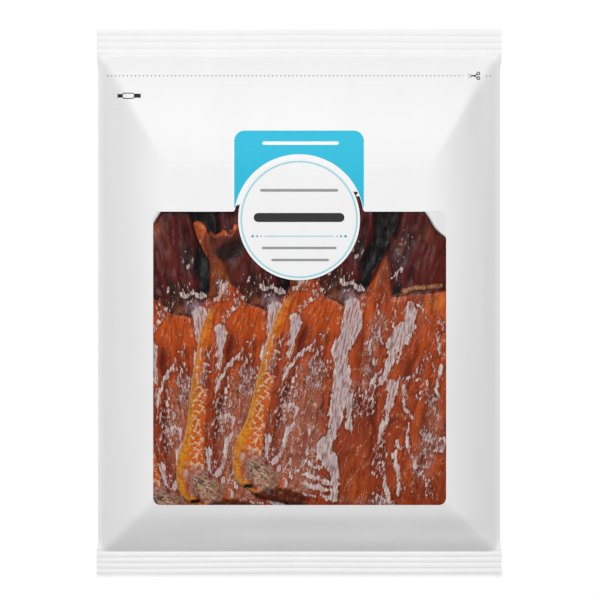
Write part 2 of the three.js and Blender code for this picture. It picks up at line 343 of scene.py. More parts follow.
def uneven_tint(shader, scale, low, high, detail=2, stretch=None):
    """Lets the colour wander between two, with noise that a stretch draws out."""
    tree = shader.id_data
    place = add_node(tree, "TexCoord").outputs["Object"]
    if stretch:
        place = add_node(tree, "Mapping", Scale=stretch, Vector=place).outputs["Vector"]
    cloud = add_node(tree, "TexNoise", Scale=scale, Detail=detail, Vector=place)
    feed(shader.inputs["Base Color"], mix_node(tree, cloud.outputs["Fac"], low, high))


white_laminate, laminate_shader = new_material(
    "white_laminate", srgb(239, 239, 239), 0.68, Specular_IOR_Level=0.45, Metallic=0.14
)
ALONG_PACK = (1.0, 0.25, 1.0)
uneven_tint(laminate_shader, 45, srgb(236, 236, 237), srgb(242, 242, 242), 3, ALONG_PACK)
laminate = white_laminate.node_tree
where = add_node(laminate, "TexCoord").outputs["Object"]
grain = add_node(laminate, "TexNoise", Scale=900, Detail=2, Vector=where)
grain_bump = add_node(laminate, "Bump", Strength=0.05, Distance=0.0002, Height=grain.outputs["Fac"])
feed(laminate_shader.inputs["Normal"], grain_bump.outputs["Normal"])
front_film.data.materials.append(white_laminate)
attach(front_film, "root")
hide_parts("pouch")

# The window is the same laminate without its white ink: clear film that lies close over the squids.
# Its edge meets the white all round, a hair below the printed face.
CLEAR_TOP = 0.00008
CLEAR_UNDER = 0.00022
MARGIN = 0.004
SLIVER_GRID_TOP = 0.075
window_film = closed_sheet(
    "window_film",
    film_x_lines[np.abs(film_x_lines) < WINDOW_HALF + MARGIN],
    film_y_lines[(film_y_lines > WINDOW_Y - WINDOW_HALF - MARGIN) & (film_y_lines < SLIVER_GRID_TOP)],
    window,
    lambda x, y: front_height(x, y) - CLEAR_TOP,
    lambda x, y: front_height(x, y) - CLEAR_UNDER,
    drawn_in,
)[0]
clear_film = new_material("clear_film", (0.05, 0.05, 0.05, 1.0), 0.1, Alpha=0.04)[0]
window_film.data.materials.append(clear_film)
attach(window_film, "root")

# The back is a plain sheet of the same white laminate, without a window. It lies flat on the table
# and turns up to the seals in a tighter roll than the front does.


def back_height(x, y):
    """Height of the back's outer face."""
    full = fullness(x, y, BACK_ROLL, BACK_ROLL)
    return (SEAL_Z - SEAL_HALF) * (1 - full) - groove(x, y) - seal_droop(x, y)


back_film = closed_sheet(
    "back_film",
    lines(-WIDTH / 2, 0.0016, -INNER_HALF, 0.0022, -0.1, 0.008, 0.1, 0.0022, INNER_HALF, 0.0016, WIDTH / 2),
    lines(
        -LENGTH / 2, 0.0006, INNER_BOTTOM, 0.0022, -0.13, 0.008, 0.13, 0.0022, INNER_TOP, 0.0006, LENGTH / 2
    ),
    None,
    lambda x, y: back_height(x, y) + FILM,
    back_height,
    drawn_in,
)[0]
back_film.data.materials.append(white_laminate)
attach(back_film, "root")

# The print is thin ink on the front: a blue tab with a white edge over the round tongue, a pale ring in it,
# plain bars where a pack has its words, a dotted tear line with scissors, and the sign of the slider.
INK = 0.00005


def print_on_film(name, x_lines, y_lines, distance, material, level=1):
    """A shape of ink that follows the film, on its first or a later layer of ink."""
    shape = closed_sheet(
        name,
        x_lines,
        y_lines,
        distance,
        lambda x, y: front_height(x, y) + level * INK,
        lambda x, y: front_height(x, y) - INK / 2,
        drawn_in,
    )[0]
    shape.data.materials.append(material)
    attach(shape, "root")


def ink_material(name, colour):
    """Satin ink with the faint uneven coverage of flexographic print."""
    material, shader = new_material(name, colour, 0.5, Specular_IOR_Level=0.15)
    thin_ink = (*(0.96 * value for value in colour[:3]), 1.0)
    full_ink = (*(min(1.0, 1.03 * value) for value in colour[:3]), 1.0)
    uneven_tint(shader, 350, thin_ink, full_ink)
    return material


white_ink = ink_material("white_ink", (0.93, 0.93, 0.93, 1.0))
blue_ink = ink_material("blue_ink", srgb(34, 190, 222))
pale_blue_ink = ink_material("pale_blue_ink", srgb(160, 214, 222))
teal_ink = ink_material("teal_ink", srgb(60, 170, 180))
dark_ink = ink_material("dark_ink", srgb(40, 40, 42))
grey_ink = ink_material("grey_ink", srgb(150, 152, 154))

TAB_HALF = 0.0415
TAB_FOOT = 0.0575
TAB_TOP = 0.1095
TAB_CORNER = 0.0066
TAB_EDGE = 0.0009
TAB_BELOW_FOOT = 0.01
HAIR = 0.0001


def tab(x, y, grow, inner_radius):
    """Distance to the tab over the tongue: a rounded box without the circle, grown by an edge."""
    half_y = (TAB_TOP - TAB_FOOT) / 2 + TAB_BELOW_FOOT
    box = rounded_box(x, y, 0, TAB_TOP - half_y, TAB_HALF + grow, half_y + grow, TAB_CORNER + grow)
    foot = TAB_FOOT + 6 * HAIR - y
    return np.maximum(np.maximum(box, foot), -disc(x, y, 0, DISC_Y, inner_radius))


def tab_edge(x, y):
    """Distance to the white edge behind the tab, which leaves the clear ring in the window free."""
    return np.maximum(tab(x, y, TAB_EDGE, DISC_RADIUS - 2 * HAIR), -window(x, y) + HAIR)


tab_lines = lines(-0.0432, 0.0009, 0.0432), lines(0.0565, 0.0009, 0.1112)
print_on_film("tab_edge", *tab_lines, tab_edge, white_ink)
print_on_film("tab", *tab_lines, lambda x, y: tab(x, y, 0, SLIVER_RADIUS + 3 * HAIR), blue_ink, 2)
RING_RADIUS = 0.037
RING_HALF = 0.00055
RING_REACH = 0.0378
print_on_film(
    "tongue_ring",
    lines(-RING_REACH, 0.0006, RING_REACH),
    lines(DISC_Y - RING_REACH, 0.0006, DISC_Y + RING_REACH),
    lambda x, y: np.abs(disc(x, y, 0, DISC_Y, RING_RADIUS)) - RING_HALF,
    pale_blue_ink,
)


def bar(name, centre_x, centre_y, half_x, half_y, material, level=1):
    """A plain bar of ink with round ends."""
    step = min(0.0008, half_y)
    print_on_film(
        name,
        lines(centre_x - half_x, step, centre_x + half_x),
        lines(centre_y - half_y, step / 2, centre_y + half_y),
        lambda x, y: rounded_box(x, y, centre_x, centre_y, half_x, half_y, half_y * 0.98),
        material,
        level,
    )


bar("tab_bar", 0.001, 0.1014, 0.0245, 0.0011, white_ink, 3)
bar("tongue_bar_upper", 0.0, 0.0712, 0.025, 0.0009, grey_ink)
bar("tongue_bar_title", 0.0, 0.0538, 0.029, 0.0029, dark_ink)
SIDES = (-1, 1)
RULE_Y = 0.0418
bar("tongue_rule", 0.0, RULE_Y, 0.0222, 0.00035, pale_blue_ink)
for side, side_name in zip(SIDES, ("left", "right")):
    for number, (x, radius) in enumerate(((0.0297, 0.0009), (0.0268, 0.0007), (0.0243, 0.0005))):
        bar(f"tongue_dot_{side_name}_{number}", side * x, RULE_Y, radius, radius, teal_ink)
bar("tongue_bar_lower", 0.0, 0.0343, 0.024, 0.0008, grey_ink)
bar("tongue_bar_lowest", 0.0007, 0.0266, 0.0185, 0.0008, grey_ink)

TEAR_Y = 0.1448
DOT_PITCH = 0.0026
DOT_HALF = 0.0006
DOT_HALF_HEIGHT = 0.0003
DOTS_EACH_WAY = 48
PAUSE_X = 0.1122
PAUSE_HALF = 0.0068


def tear_dots(x, y):
    """Distance to the dots of the tear line, which pause for the scissors."""
    along = np.abs(np.mod(x, DOT_PITCH) - DOT_PITCH / 2) - DOT_HALF
    pause = PAUSE_HALF - np.abs(x - PAUSE_X)
    return np.maximum.reduce([along, np.abs(y - TEAR_Y) - DOT_HALF_HEIGHT, pause])


print_on_film(
    "tear_line",
    lines(-DOTS_EACH_WAY * DOT_PITCH, DOT_PITCH / 6, DOTS_EACH_WAY * DOT_PITCH),
    lines(TEAR_Y - DOT_HALF_HEIGHT, 2 * DOT_HALF_HEIGHT, TEAR_Y + DOT_HALF_HEIGHT),
    tear_dots,
    ink_material("tear_ink", srgb(112, 114, 116)),
)


def stroke(x, y, start, end, start_half, end_half):
    """Distance to a straight stroke with round ends whose half width changes along it."""
    run = np.array(end) - np.array(start)
    along = np.clip(((x - start[0]) * run[0] + (y - start[1]) * run[1]) / (run @ run), 0, 1)
    reach = np.hypot(x - start[0] - along * run[0], y - start[1] - along * run[1])
    return reach - start_half - along * (end_half - start_half)


SCISSORS_X = 0.1125


def scissors(x, y):
    """Distance to a small open pair of scissors that points left."""
    x, y = x - SCISSORS_X, y - TEAR_Y
    blades = [
        stroke(x, y, (0.0008, side * 0.0003), (-0.004, -side * 0.0011), 0.00035, 0.0001) for side in SIDES
    ]
    shanks = [stroke(x, y, (0.0004, 0.0), (0.0022, side * 0.0011), 0.0003, 0.0003) for side in SIDES]
    rings = [np.abs(disc(x, y, 0.003, side * 0.0015, 0.0009)) - 0.0003 for side in SIDES]
    return np.minimum.reduce(blades + shanks + rings)


print_on_film("scissors", lines(0.108, 0.00022, 0.1172), lines(0.1414, 0.00022, 0.1482), scissors, dark_ink)

SLIDER_X = -0.1095
SLIDER_Y = 0.1319


def slider_sign(x, y):
    """Distance to the sign of a zip slider: an outlined oval between two blocks with notched ends."""
    x, y = x - SLIDER_X, y - SLIDER_Y
    left = np.maximum(np.abs(x + 0.006) - 0.0017, np.abs(y) - 0.0011)
    right = np.maximum(np.abs(x - 0.0058) - 0.002, np.abs(y) - 0.0013)
    oval = np.abs(rounded_box(x, y, -0.0003, 0, 0.004, 0.0017, 0.0016)) - 0.00028
    notch = -disc(x, y, -0.008, 0, 0.0007)
    return np.minimum(np.maximum(np.minimum(left, right), notch), oval)


slider_lines = lines(-0.1177, 0.00024, -0.1012), lines(0.1296, 0.00024, 0.1342)
print_on_film("slider_sign", *slider_lines, slider_sign, dark_ink)

# Each squid is one body, split, spread and dried flat: the mantle with an amber rim, the dark head over its
# collar, a long feeler arm beside it, and four arms. They go in last, fanned like cards, left one lowest.
# The film presses them flat, so each sheet follows the front, one layer deeper for every squid on top of it.
LAYER = 0.004
UNDER_FILM = 0.0012
SQUID_THICKNESS = 0.003
MM = 0.001
SQUID_PLACES = {
    "squid_left": (-52.8, 3.8, 12.4),
    "squid_middle": (-2.4, 4.8, 1.3),
    "squid_right": (48.1, 5.5, -6.0),
}
MANTLE_EDGE = (
    (-43.5, 9.5), (-46.5, 5.5), (-50, 0), (-55, -9), (-60, -18.5), (-62.8, -30), (-66, -45), (-68.5, -60),
    (-70.5, -75), (-73, -90), (-77, -100), (-78.6, -110), (-78.6, -119), (-76.5, -126), (-72.5, -131),
    (-69, -132.5), (-60, -138), (-45, -139.5), (-28, -143), (0, -147.5), (30, -143), (56, -134), (69, -116),
    (68, -80), (65, -48), (60, -20), (54, 2), (48, 8), (20, 6), (-20, 6), (-38, 5),
)
HEAD_EDGE = (
    (50, -6), (50, 4), (49, 20), (46, 32), (42.5, 38.6), (34.8, 44.3), (30.3, 50.2), (25.9, 55), (14, 66),
    (0, 69), (-14, 68), (-22.9, 60), (-30.5, 51.8), (-34, 42), (-36, 30), (-39, 15), (-42, 2), (-40, -6),
    (0, -8),
)
FEELER_EDGE = (
    (-50, -6), (-54, 0), (-54, 12), (-53.5, 20), (-57, 27), (-60.5, 34), (-62.8, 41), (-64.2, 47),
    (-60, 48), (-56, 43.5), (-54.8, 38), (-52.5, 30), (-49, 25), (-45, 20), (-43, 14), (-41, 5), (-40, -6),
)
# The fold of tissue that joins the feeler to the head, which is torn along its top.
CHEEK_EDGE = (
    (-55, 39.9), (-50.6, 39.3), (-47.2, 40.4), (-45.7, 42.5), (-43, 41.5), (-40.7, 39.6), (-38.8, 43.9),
    (-37.6, 46), (-34.8, 46.3), (-30, 52), (-28, 20), (-40, 0), (-52, 0),
)
# The dark gap in the middle of the head: x, y and half width in turn.
HEAD_GAP = [(-6.5, 1, 4.2), (-6, 14, 5.2), (0, 30, 6.2), (2.5, 42, 7.6), (4, 56, 8.6)]


def smooth_outline(corners, steps=5):
    """A closed curve through the corners."""
    corners = np.array(corners)
    before, after, next_after = np.roll(corners, 1, 0), np.roll(corners, -1, 0), np.roll(corners, -2, 0)
    curve = []
    for t in np.arange(steps) / steps:
        bend = 2 * before - 5 * corners + 4 * after - next_after
        twist = 3 * corners - before - 3 * after + next_after
        curve.append(0.5 * (2 * corners + (after - before) * t + bend * t**2 + twist * t**3))
    return np.stack(curve, 1).reshape(-1, 2)


def outline_distance(x, y, outline):
    """Signed distance to a closed outline, negative inside it."""
    nearest = np.full(x.shape, np.inf)
    inside = np.zeros(x.shape, bool)
    for (ax, ay), (bx, by) in zip(outline, np.roll(outline, -1, 0)):
        run_x, run_y = bx - ax, by - ay
        along = np.clip(((x - ax) * run_x + (y - ay) * run_y) / (run_x**2 + run_y**2), 0, 1)
        nearest = np.minimum(nearest, np.hypot(x - ax - along * run_x, y - ay - along * run_y))
        lean = run_x / run_y if run_y else 0.0
        inside ^= ((ay > y) != (by > y)) & (x < ax + (y - ay) * lean)
    return np.where(inside, -nearest, nearest)


mantle_outline = smooth_outline(MANTLE_EDGE)
head_outline = smooth_outline(HEAD_EDGE)
feeler_outline = smooth_outline(FEELER_EDGE)
cheek_outline = smooth_outline(CHEEK_EDGE, 2)


def mantle_gap(x, y):
    """Distance to the mantle."""
    return outline_distance(x, y, mantle_outline)


ARM_FAN = (-0.5, -1 / 6, 1 / 6, 0.5)


def head_gap(x, y):
    """Distance to the head and its four arms."""
    arms = [stroke(x, y, (32 * fan, 56), (44 * fan, 90 - 8 * abs(fan)), 4.5, 2.0) for fan in ARM_FAN]
    return np.minimum.reduce([outline_distance(x, y, head_outline)] + arms)


def feeler_gap(x, y, tucked):
    """Distance to the feeler arm, which on the left squid lies tucked in along the head."""
    if tucked:
        return stroke(x, y, (-39, -2), (-42, 50), 5.5, 2.5)
    return outline_distance(x, y, feeler_outline)


def cheek_gap(x, y):
    """Distance to the fold between head and feeler."""
    return outline_distance(x, y, cheek_outline)


# Where the mantle ends and the head begins, from the left collar point to the right one.
COLLAR = np.array((
    (-60, 30), (-43.5, 9.8), (-40, 6), (-35, 3.5), (-32, -3), (-29, -5.5), (-23, -7), (-19, -9.5),
    (-12, -8), (-9.5, -2), (-5.5, 0), (-2.5, 6), (0.5, 12), (2, 19), (4.5, 25.5), (7, 19), (8.5, 13),
    (9.5, 6), (11.5, -1.5), (15, 0), (25, 3), (35, 4.5), (46, 7), (75, 9), (75, 120), (-75, 120),
))


def smooth(value):
    """A soft step from 0 to 1."""
    value = np.clip(value, 0, 1)
    return value * value * (3 - 2 * value)


WAVES = 97  # the waves repeat after so many cells
ORIGIN_CELL = 500  # the cell that the drawing's origin lies in


def uneven(x, y, cell_x, cell_y, seed):
    """Random waves from -1 to 1 whose crests are about one cell wide and one cell long."""
    heights = np.random.default_rng(seed).uniform(-1, 1, (WAVES, WAVES))
    column, row = x / cell_x + ORIGIN_CELL, y / cell_y + ORIGIN_CELL
    left, low = np.floor(column).astype(int), np.floor(row).astype(int)
    share_x, share_y = smooth(column - left), smooth(row - low)
    left, right, low, high = left % WAVES, (left + 1) % WAVES, low % WAVES, (low + 1) % WAVES
    lower = heights[left, low] * (1 - share_x) + heights[right, low] * share_x
    upper = heights[left, high] * (1 - share_x) + heights[right, high] * share_x
    return lower * (1 - share_y) + upper * share_y


def mantle_folds(x, y):
    """The mantle's lengthwise folds, from -1 in a valley to 1 on a ridge."""
    leaning = x - 0.04 * y
    return 0.6 * uneven(leaning, y, 5.0, 34, 3) + 0.4 * uneven(leaning, y, 2.0, 12, 4)


def head_folds(x, y):
    """The head's tighter folds, from -1 in a valley to 1 on a ridge."""
    winding = x + 1.6 * np.sin(y / 9)
    return 0.6 * uneven(winding, y, 3.0, 14, 5) + 0.4 * uneven(x, y, 1.7, 6, 6)


FAR_OUTSIDE = -50.0


def painted(x, y, strokes):
    """How deep each point lies inside the widest of the strokes near it: points of x, y, half width."""
    depth = np.full(x.shape, FAR_OUTSIDE)
    for marks in strokes:
        for (ax, ay, a_half), (bx, by, b_half) in zip(marks[:-1], marks[1:]):
            depth = np.maximum(depth, -stroke(x, y, (ax, ay), (bx, by), a_half, b_half))
    return depth


def band(*numbers):
    """A stroke given by a height, its left side and its right side there, in turn."""
    rows = zip(numbers[::3], numbers[1::3], numbers[2::3])
    return [((left + right) / 2, y, (right - left) / 2) for y, left, right in rows]


def thin(half, *numbers):
    """A stroke of one half width through points, given as x and y in turn."""
    return [(x, y, half) for x, y in zip(numbers[::2], numbers[1::2])]


# Pale bloom: in part the dried salt and sugar that whitens the ridges of the skin, in part painted
# highlights of the lamp on the glossy wrinkles; the short strokes on the heads are painted highlights only.
# Its wide patches also stand up.
WIDE_BLOOM_AND_GLINTS = [
    band(
        -10, -18, -7, -15, -18, -5.5, -20, -19, -5, -28, -19, -9, -34, -21, -10, -40, -23, -13, -50, -21,
        -10, -60, -21, -9, -70, -21, -10, -80, -21, -11, -86, -20, -14, -95, -21, -15, -100, -26, -17, -105,
        -27, -16, -110, -23, -11, -118, -17, -10, -126, -14, -9.5, -133, -14, -9.5,
    ),
    thin(2.2, -9, -66, -7.5, -80, -7, -88),
    band(
        -6, 21, 27.5, -10, 20, 28, -18, 20, 29, -24, 14.5, 26, -28, 12.5, 23, -34, 11, 18, -45, 12, 17, -52,
        10, 13.5, -58, 9, 12,
    ),
    band(-30, 20, 22.5, -38, 17.5, 19.5, -48, 17.5, 19),
    band(
        -58.5, 13, 22, -61, 17, 22, -66, 15.5, 21.5, -72, 14.5, 20, -80, 14, 17.2, -88, 12.7, 15.8, -94, 11,
        13.4,
    ),
]
BLOOM_AND_GLINTS = WIDE_BLOOM_AND_GLINTS + [
    band(-115, 16.5, 19.5, -122, 18, 22, -127, 20.5, 24.5, -133, 22.5, 25),
    band(7, -46.5, -43, 3, -48.5, -44, -1, -51, -47.5, -4, -52.5, -50.5),
    band(-22, -52, -45, -28, -52, -45.5, -36, -51.5, -47, -46, -51, -49),
]
BLOOM_AND_GLINTS += [thin(*numbers) for numbers in (
    (0.9, 5, -58.5, 13, -58.5), (0.7, 14.5, -9, 15.5, -13, 13.5, -18, 15, -23), (0.5, 2, -6, 4, -12),
    (0.6, 0, -20, 1, -28, -2, -33), (0.5, 3, -22, 5, -26, 9, -31), (0.8, 0, -33, 1, -40),
    (0.5, 9, -16, 10, -22), (1.2, 4, -43, 5.5, -45), (0.8, 9, -48, 6, -54, 4, -58), (0.5, 3, -54, 4, -59),
    (0.45, 0, -50, -3, -58, -4, -66), (0.7, 6, -67, 5, -72), (0.6, 28, -4, 33, -9, 36, -14, 39, -17),
    (0.7, 44, -25, 46, -35), (0.6, 42, -40, 43, -46), (1.4, 48, -42, 47, -50, 46, -57, 48, -60, 46, -65),
    (1, 39, -53, 40, -61), (1, 25, -57, 26, -63, 27, -70, 30, -72, 32, -75),
    (0.9, 30, -80, 30, -90, 32, -97, 37, -104, 38, -108), (0.8, 41, -86, 43, -90), (0.8, 46, -89, 46, -95),
    (1, 53, -89, 55, -92, 53, -97, 50, -96, 51, -90, 53, -89), (0.9, 43, -96, 44, -104, 45, -107, 42, -112),
    (1.1, 25, -93, 26.5, -98), (1.5, 24, -100, 25, -108, 27, -115), (1.4, 28, -118, 29, -126),
    (0.9, 37, -122, 38, -126), (0.8, 32, -123, 32, -125), (1, -44, -10, -42, -12),
    (0.5, -43, -14, -45.5, -19), (0.5, -45, -14, -47.5, -19), (0.6, -36, -5, -40, -10),
    (0.7, -46, -1, -43, 3), (0.8, -66, -44.5, -61, -44.8, -56, -44),
    (0.6, -65, -49.5, -60, -49.5, -53, -47.5), (1.2, -34, -34, -38, -40, -41, -43, -46, -48),
    (1.3, -46, -48, -50, -54, -53, -61),
    (0.6, -43, -51.5, -41.5, -54.5, -43, -57.5, -45, -54.5, -43, -51.5), (1.3, -46, -59.5, -46, -61),
    (0.55, -46.5, -65, -43.5, -65, -43.5, -74, -46.5, -74, -46.5, -65),
    (1.3, -46, -75, -43, -76, -41, -80, -42.5, -88, -45, -93),
    (1.7, -45, -93, -47, -100, -48.5, -107, -51, -112, -54, -118, -54, -122),
    (0.6, -28.5, -30.5, -27.5, -32, -28.5, -34, -29.7, -32, -28.5, -30.5), (0.4, -31, -29.5, -25, -28.5),
    (0.5, -58, -84, -58, -92), (0.6, -30, -90, -30, -95),
    (0.6, -32, -101, -31, -104, -32, -108, -33, -104, -32, -101),
    (0.8, -42, -110, -44, -116, -43, -120, -40.5, -123), (1.2, -49, -117, -49, -122, -51, -128),
    (1, -43, -126, -43, -135), (0.8, -38, -117, -35, -117), (1.7, -59, -99, -58, -106, -58, -112),
    (1.5, -33, -112, -28, -114, -22, -116), (1.5, -32, -119, -26, -122, -20, -124, -10, -123),
    (1.4, -30, -126, -22, -128, -12, -130), (1.3, -34, -133, -24, -133), (1, -20, -131, -15, -134),
    (0.8, 14, -128, 20, -130, 26, -133), (1.9, -21, 4.5, -14, 4, -8, 1.5), (0.7, -31, 9, -27, 12),
    (0.6, -15, 21, -12, 24), (1.1, 11, 11, 13, 14, 16.5, 16.5), (0.5, 18, 28, 19, 34),
    (0.5, -17, 8, -16, 12),
)]
# Places where the bloom is only specks. Like the bloom they are in part painted highlights, and on the
# heads they are painted highlights only.
SPECKS_AND_GLINTS = [thin(*numbers) for numbers in (
    (4.5, -14, -1, -16, -6), (3, -8, -1, -8, -8), (5, -35, 0, -30, 6, -22, 8), (3.5, -37, -2, -30, -2),
    (3.5, -47, 6, -45, 0), (3.4, -5, -66, -3, -78), (4, 4, -64, 4, -74), (4.5, 14, -97, 14, -113),
    (2.2, 39, -36, 36, -42, 34, -47, 30, -51, 23, -53), (3.2, 37, -61, 42, -65), (2.8, 41, -87, 44, -90),
    (2.5, 44, -14, 44, -22), (4, -32, -42, -32, -60), (2.2, -25, -48, -25, -56), (3.4, -51, -64, -49, -78),
    (3.8, -51, -80, -51, -88), (4.2, -58, -101, -57, -110, -60, -116), (4.5, -66, -116, -66, -128),
    (3, -25, -120, -18, -127), (1.8, 12, -131, 26, -132), (3.5, -59, -36, -57, -40),
    (3.5, -61, -52, -60, -57), (3, 47, -118, 48, -124), (3, 13, 20, 16, 38), (3, 12, 10, 15, 16),
    (3, -12, 22, -14, 30),
)]
# Parts of the mantle that are strewn with fine scratches of bloom.
DUSTY = [
    [(-33, -52, 7), (-38, -75, 13), (-38, -100, 14), (-35, -122, 12)],
    [(-10, -60, 5), (-8, -72, 4)],
    [(45, -62, 4), (46, -86, 7), (42, -110, 7)],
    [(5, -16, 5), (2, -34, 5), (2, -60, 4)],
    [(-62, -32, 3), (-62, -52, 4)],
    [(-12, -133, 2), (24, -133, 2)],
]
# Patches of tone in the mantle and head: x, y, half width, half height, colour, strength.
TONES = (
    (-56, -20, 6, 13, (192, 92, 22), 0.8), (-28, -21, 9, 17, (182, 78, 22), 0.8),
    (-43, -35, 5, 17, (112, 34, 18), 0.9), (-8, -30, 4, 7, (120, 38, 20), 0.7),
    (1, -41, 4, 21, (122, 40, 20), 0.6), (24, -87, 5, 10, (104, 30, 16), 0.9),
    (-7, -97, 6, 13, (104, 34, 18), 0.9), (3, -125, 12, 12, (186, 92, 26), 0.9),
    (-35, -129, 7, 6, (192, 88, 14), 0.9), (40, -8, 12, 6, (186, 88, 28), 0.8),
    (26, -40, 8, 12, (156, 66, 24), 0.7), (4, -82, 6, 10, (132, 58, 34), 0.8),
    (50, -122, 12, 14, (156, 84, 44), 0.8), (-52, -95, 5, 8, (172, 82, 30), 0.7),
    (-36, -75, 7, 20, (128, 50, 30), 0.7), (30, -22, 6, 10, (164, 66, 22), 0.6),
    (47, -75, 6, 16, (152, 66, 24), 0.6), (36, -115, 6, 12, (150, 60, 22), 0.6),
    (-26, -85, 5, 14, (124, 48, 30), 0.6), (55, -60, 6, 22, (160, 72, 26), 0.6),
    (4, 12, 6, 15, (116, 56, 30), 0.95), (41, -2, 9, 5, (196, 108, 40), 0.8),
    (-38, -14, 5, 8, (204, 92, 26), 0.7),
)
HEAD_TONES = (
    (38, 25, 10, 18, (92, 28, 20), 0.9), (30, 41, 7, 6, (124, 56, 28), 0.8),
    (15, 28, 6, 15, (74, 52, 60), 0.7), (-25, 28, 7, 16, (98, 34, 28), 0.8),
    (-29, 49, 4, 6, (148, 70, 28), 0.8), (-13, 28, 4, 12, (62, 46, 54), 0.7),
    (-28, 3, 9, 8, (96, 54, 34), 0.8), (-26, -4, 6, 3, (140, 82, 38), 0.7),
    (-15, -4, 5, 5, (186, 164, 184), 0.8), (-8, -4, 3, 4, (186, 176, 176), 0.8),
    (13, 32, 4, 5, (120, 72, 44), 0.6), (44, 45, 10, 5, (52, 24, 24), 0.8),
    (0, 64, 40, 12, (70, 32, 28), 0.7),
)
# Deep lengthwise folds of the mantle, beside the rim and beside the widest band of bloom. They are pressed
# into the relief and painted dark along their length as painted shade.
VALLEYS = [
    [(-40.7, -25, 1.0), (-47, -57, 1.6), (-51.2, -73, 1.4), (-51.6, -89, 0.9)],
    [(-26.5, -30, 0.9), (-28, -55, 1.3), (-25.5, -80, 1.0)],
    [(-5, -12, 0.7), (-4, -30, 1.1), (-6, -48, 0.8)],
    [(7, -70, 0.8), (9, -90, 1.3), (6, -108, 1.0)],
    [(31, -34, 0.8), (27, -48, 1.2), (24, -54, 0.8)],
]
RIM_HIGH = (218, 136, 54)
RIM_LOW = (206, 138, 40)
RIM_SIDE = -35  # the amber rim shows only left of this


def linear(colour):
    """The linear red, green and blue of a colour as it is seen."""
    return np.array(srgb(*colour)[:3])


def coated(base, *coats):
    """The base colours with coats laid over them in turn, each a colour and its share."""
    for colour, share in coats:
        base = base + (linear(colour) - base) * np.clip(share, 0, 1)[:, None]
    return base


def toned_ground(x, y, ground, tones):
    """One colour all over with soft patches of tone on it."""
    skin = np.tile(linear(ground), (len(x), 1))
    for *place, colour, strength in tones:
        skin = coated(skin, (colour, strength * blob(x, y, *place)))
    return skin


# Width of the mantle's rim at each distance toward the tail.
RIM_AT = (0, 20, 45, 65, 85, 95, 105, 112, 122, 134)
RIM_WIDTHS = (2, 5.5, 5.2, 5.8, 5.4, 6.6, 9.5, 6.5, 5.0, 3.0)


def paint_mantle(x, y, stray_x, stray_y, inward):
    """The mantle's colour, and where it is dusty, rim, laced, wrinkled and crumpled."""
    dusty = smooth(painted(x, y, DUSTY) / 7 + 0.4)
    folds = mantle_folds(x, y)
    valley_shade = smooth((painted(stray_x, stray_y, VALLEYS) + 0.8) / 1.8)
    rim_width = np.interp(-y, RIM_AT, RIM_WIDTHS) + 0.7 * uneven(x, y, 3, 4, 7)
    rim = smooth((rim_width - inward) / 1.4 + 0.5) * (x < RIM_SIDE)
    rim = rim * smooth((-y - 4) / 10) * smooth((y + 136) / 3)
    low = smooth((-y - 30) / 45)
    lace = smooth(painted(x, y, [thin(4.4, -62.5, -62, -65, -85, -65.5, -109)]) / 1.5 + 0.5)
    # The wrinkled patch is an oval that leans toward the tail.
    along = (0.79 * (x + 62) - 0.61 * (y + 121)) / 17
    across = (0.61 * (x + 62) + 0.79 * (y + 121)) / 9
    patch = smooth((1.2 - np.hypot(along, across) + 0.4 * uneven(x, y, 2.6, 2.6, 8)) / 0.9)
    patch = patch * smooth((inward - 3.0) / 1.5)
    crumple = painted(x, y, [[(-61, -136, 1.8), (-52, -135, 4.2), (-43, -135.5, 5.2), (-33, -137, 4.4)]])
    crumple = smooth((crumple + 1.2 * uneven(x, y, 2.5, 1.8, 11)) / 1.6 + 0.4)
    skin = coated(
        toned_ground(x, y, (170, 70, 24), TONES),
        ((142, 57, 26), smooth((-y - 30) / 50) * 0.85),
        ((154, 100, 82), dusty * 0.62),
        # Painted shade darkens the fold valleys and painted light brightens the fold ridges.
        ((104, 34, 18), smooth((-folds - 0.12) / 0.5) * 0.55),
        ((206, 98, 30), smooth((folds - 0.15) / 0.5) * 0.35),
        # The deep valleys painted dark, as painted shade.
        ((74, 24, 14), valley_shade * 0.62),
        (RIM_HIGH, rim * (1 - low) * 0.95),
        (RIM_LOW, rim * low),
        ((204, 96, 16), rim * smooth((inward - 0.55 * rim_width) / 1.6) * 0.75),
        ((160, 80, 20), rim * smooth((uneven(x, y, 1.9, 2.6, 23) - 0.05) / 0.5) * 0.65),
        # A pale line along the rim's very edge: a painted highlight on the rolled edge.
        ((246, 214, 140), smooth((1.1 - inward) / 0.8) * rim * 0.75),
        ((208, 100, 26), lace * (1 - rim) * 0.75),
        ((188, 166, 158), patch * 0.94),
        ((176, 140, 114), patch * smooth((along + 0.25 + 0.4 * uneven(x, y, 4, 4, 9)) / 0.8)),
        ((96, 56, 36), patch * smooth((along - 0.3 + 0.3 * uneven(x, y, 3, 3, 10)) / 0.6)),
        ((58, 26, 18), crumple * (0.75 + 0.25 * uneven(x, y, 1.8, 1.5, 12))),
        # A near-black spot at the tail's left corner: painted shade in the gap there.
        ((12, 9, 8), smooth(painted(x, y, [thin(1.3, -69, -131.5, -65, -131)]) / 1.0 + 0.5)),
    )
    cleared = np.maximum(patch * (1 - 0.5 * smooth(-along / 0.6)), crumple)
    return skin, dusty, rim, lace, patch, crumple, cleared


